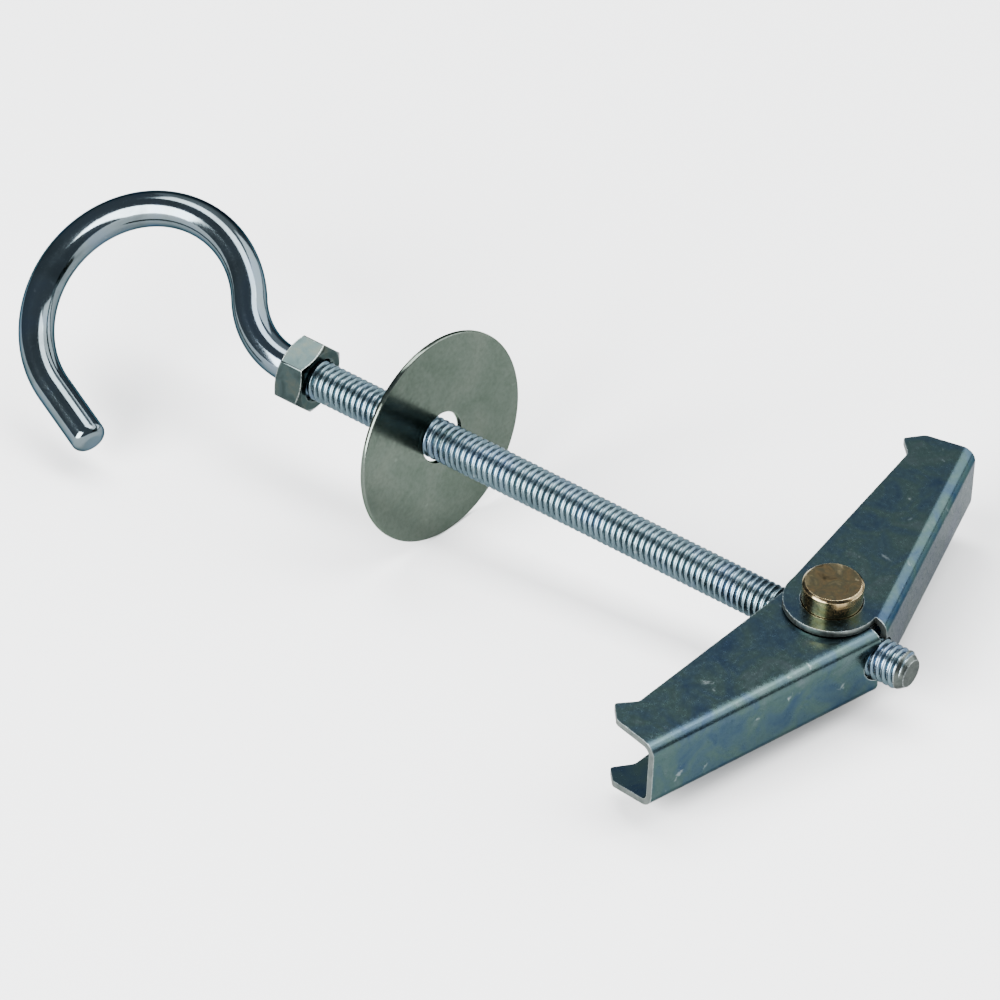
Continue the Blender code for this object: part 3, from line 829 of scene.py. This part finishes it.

# %% [markdown]
# ## Spring
# A thin wire spring makes one turn round the barrel and lays a leg in each wing. It shows only
# from behind and below. A traced line becomes a curve with a round bevel, which is the quickest
# way to a wire of even thickness. It is wound in two halves, one for each leg.

# %% Winding the spring
SPRING_WIRE, SPRING_LEG, SPRING_GAP = 0.6, 14.0, 0.15
COIL_RADIUS = BARREL_DIAMETER / 2 + SPRING_GAP + SPRING_WIRE / 2
COIL_Z = THREAD_DIAMETER / 2 + SPRING_GAP + SPRING_WIRE / 2
WEB_INSIDE = WEB_FROM_PIVOT - SHEET - SPRING_GAP - SPRING_WIRE / 2
LEG_STEPS, HALF_COIL_STEPS = 10, 28
leave = WEB_TAPER - math.asin(WEB_INSIDE / math.hypot(COIL_RADIUS, SPRING_LEG))
leave += math.atan(COIL_RADIUS / SPRING_LEG)
past_rod = math.asin(min(1.0, COIL_Z / COIL_RADIUS))


def coil_point(angle):
    """A point of the coil, which goes from above the rod to below it while clear of the rod."""
    share = min(1.0, max(0.0, (-angle - past_rod) / (math.pi - 2 * past_rod)))
    level = COIL_Z * math.cos(math.pi * share)
    return (COIL_RADIUS * math.cos(angle), COIL_RADIUS * math.sin(angle), level)


def leg_point(distance, side):
    """A point of a leg, some way from the coil; the leg leaves the coil as a tangent."""
    x = COIL_RADIUS * math.cos(leave) - distance * math.sin(leave)
    y = COIL_RADIUS * math.sin(leave) + distance * math.cos(leave)
    return (x, side * y, side * COIL_Z)


def wind_half(name, side):
    """A leg and the half turn next to it."""
    path = [leg_point(SPRING_LEG * (1 - i / LEG_STEPS), side) for i in range(LEG_STEPS)]
    middle = -math.pi
    start = leave if side > 0 else -2 * math.pi - leave
    for i in range(HALF_COIL_STEPS + 1):
        path.append(coil_point(start + (middle - start) * i / HALF_COIL_STEPS))
    wire = trace(name, path)
    pick(wire)
    bpy.ops.object.convert(target="CURVE")
    wire.data.bevel_depth = SPRING_WIRE / 2
    wire.data.bevel_resolution = 3
    wire.data.use_fill_caps = True
    bpy.ops.object.convert(target="MESH")
    set_down(wire)
    dress(wire, spring_wire_finish)
    return wire


spring_a = wind_half("torsion_spring_half_a", 1)
spring_b = wind_half("torsion_spring_half_b", -1)

# %% [markdown]
# ## Riding on the joints
# Each piece rides on the body whose solid it stands for, so it moves with that body. The two
# spring halves stay where they were wound and ride on no body; the measured spring is hidden.

# %% Riding
for piece, body, node in (
    (hook_bolt, "bolt", "hook_bolt"),
    (hex_nut, "nut", "hex_nut"),
    (ceiling_washer, "washer", "ceiling_washer"),
    (barrel_nut, "toggle", "barrel_nut"),
    (wing_a, "wing_a_body", "wing_a"),
    (wing_b, "wing_b_body", "wing_b"),
):
    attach(piece, body)
    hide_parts(node)
for half_spring, body, side in ((spring_a, "wing_a_body", 1), (spring_b, "wing_b_body", -1)):
    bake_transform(half_spring)
    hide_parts("torsion_spring")

# %% [markdown]
# ## Studio
# The hook lies on pale paper. Dark plated metal is drawn by what it mirrors, so each soft panel
# stands where the photograph's highlights ask for it, in a dim room: one overhead for the long
# bright lines, a strong low one in front for the broad gleam round the hook and along the rod, a
# dim one behind for the far flats, and a faint wall of light that keeps the upper sides of the
# wings from going black.

# %% Floor
FLOOR_SIZE, PAPER_GREY = 3.0, 0.62
bpy.ops.object.select_all(action="DESELECT")
bpy.ops.mesh.primitive_plane_add(size=FLOOR_SIZE, location=(0.0, 0.0, 0.0))
floor = bpy.context.object
floor.name = "pale_floor"
paper = bpy.data.materials.new("pale_paper")
paper.use_nodes = True
paper_shader = paper.node_tree.nodes["Principled BSDF"]
paper_shader.inputs["Base Color"].default_value = (PAPER_GREY, PAPER_GREY, PAPER_GREY, 1.0)
paper_shader.inputs["Roughness"].default_value = 0.9
paper_shader.inputs["Specular IOR Level"].default_value = 0.1
floor.data.materials.append(paper)
print("paper floor of", FLOOR_SIZE, "m")


# %% Light
STEEP = 0.7


def softbox(name, place, size, brightness):
    """A soft panel that faces the hook. Its power grows with its area and its brightness."""
    panel = bpy.data.lights.new(name, "AREA")
    panel.shape = "RECTANGLE"
    panel.size, panel.size_y = size
    panel.energy = brightness * math.pi * size[0] * size[1]
    lamp = bpy.data.objects.new(name, panel)
    bpy.context.collection.objects.link(lamp)
    facing = Vector(place).normalized()
    upright = Vector((0.0, 1.0, 0.0)) if abs(facing.z) > STEEP else Vector((0.0, 0.0, 1.0))
    sideways = upright.cross(facing)
    sideways.normalize()
    turn = Matrix((sideways, facing.cross(sideways), facing)).transposed()
    lamp.matrix_world = Matrix.Translation(place) @ turn.to_4x4()
    print(name, round(Vector(place).length, 2), "m away, power", round(panel.energy, 1), "W")


softbox("overhead_softbox", place=(0.0, 0.25, 1.0), size=(1.5, 0.45), brightness=18.0)
softbox("front_softbox", place=(-0.17, -0.95, 0.42), size=(0.85, 0.84), brightness=44.0)
softbox("back_softbox", place=(0.52, 0.66, 0.50), size=(1.2, 0.9), brightness=7.0)
softbox("back_wall", place=(-0.6, 1.1, 1.15), size=(1.3, 1.0), brightness=0.9)

# %% The dim room
world = bpy.context.scene.world or bpy.data.worlds.new("studio")
bpy.context.scene.world = world
world.use_nodes = True
room = world.node_tree.nodes["Background"]
room.inputs["Color"].default_value = (0.75, 0.87, 1.0, 1.0)
room.inputs["Strength"].default_value = 0.5
print("room light of strength", room.inputs["Strength"].default_value)
